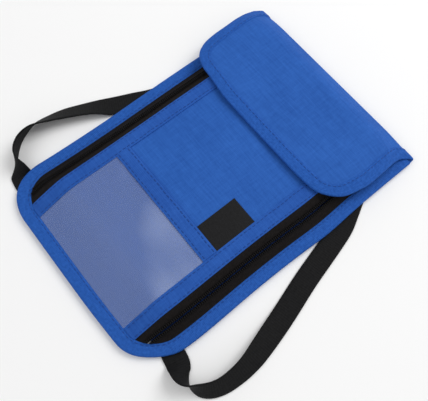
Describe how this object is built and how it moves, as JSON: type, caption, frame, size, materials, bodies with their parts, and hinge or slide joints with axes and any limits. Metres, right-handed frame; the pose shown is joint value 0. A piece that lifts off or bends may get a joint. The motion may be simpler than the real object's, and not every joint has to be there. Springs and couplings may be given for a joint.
{
  "type": "neck pouch wallet",
  "caption": "Flat fabric neck pouch with a fold-over flap, two zips along its sides, a clear window pocket, a bare woven label and a webbing neck strap.",
  "frame": {"origin": "under the middle of the pouch, on the surface that its strap and back lie on", "axes": "+X across the pouch to the label side, +Y to the fold of the flap, +Z out of the front"},
  "size_m": [0.1992, 0.2044, 0.0153],
  "materials": {
    "outer_cloth": "blue polyester plain weave, laminated on thin foam",
    "trim_cloth": "blue polyester hem and band tape, stitched",
    "binding_tape": "blue grosgrain binding tape, folded over the edge and stitched",
    "lining_cloth": "blue thin nylon lining",
    "shield_film": "grey metallised shielding liner",
    "clear_vinyl": "soft clear vinyl sheet",
    "label_weave": "black damask woven label, blank",
    "zip_tape": "black polyester zip tape",
    "zip_coil": "black nylon coil",
    "zip_metal": "black painted zinc",
    "hook_loop": "black hook-and-loop tape",
    "webbing": "black woven polyester webbing"
  },
  "bodies": {
    "pouch": {"back_panel": "outer_cloth", "shield_liner": "shield_film", "passport_sleeve": "lining_cloth", "front_panel": "outer_cloth", "perimeter_binding": "binding_tape", "left_hem_strip": "trim_cloth", "right_hem_strip": "trim_cloth", "window_sheet": "clear_vinyl", "window_band": "trim_cloth", "mouth_hem": "trim_cloth", "woven_label": "label_weave", "left_zip_tape_outer": "zip_tape", "left_zip_tape_inner": "zip_tape", "right_zip_tape_outer": "zip_tape", "right_zip_tape_inner": "zip_tape", "left_zip_coil": "zip_coil", "right_zip_coil": "zip_coil", "zip_top_stops": "zip_metal", "loop_patch": "hook_loop", "neck_strap": "webbing"},
    "flap": {"flap_shell": "outer_cloth", "flap_lining": "lining_cloth", "flap_binding": "binding_tape", "hook_patch": "hook_loop"},
    "left_slider": {"left_slider": "zip_metal"},
    "right_slider": {"right_slider": "zip_metal"},
    "left_pull": {"left_pull": "zip_metal"},
    "right_pull": {"right_pull": "zip_metal"}
  },
  "joints": [
    {"name": "flap_hinge", "type": "hinge", "parent": "pouch", "child": "flap", "pos_m": [0, 0.10225, 0.005], "axis": [-1, 0, 0], "range_deg": [0, 165]},
    {"name": "left_zip_slide", "type": "slide", "parent": "pouch", "child": "left_slider", "axis": [0, -1, 0], "range_m": [0, 0.14]},
    {"name": "right_zip_slide", "type": "slide", "parent": "pouch", "child": "right_slider", "axis": [0, -1, 0], "range_m": [0, 0.14]},
    {"name": "left_pull_hinge", "type": "hinge", "parent": "left_slider", "child": "left_pull", "pos_m": [-0.05764, 0.07605, 0.01027], "axis": [-0.8361, 0, -0.5485], "range_deg": [0, 3]},
    {"name": "right_pull_hinge", "type": "hinge", "parent": "right_slider", "child": "right_pull", "pos_m": [0.05764, 0.07605, 0.01027], "axis": [-0.8361, 0, 0.5485], "range_deg": [0, 3]}
  ]
}
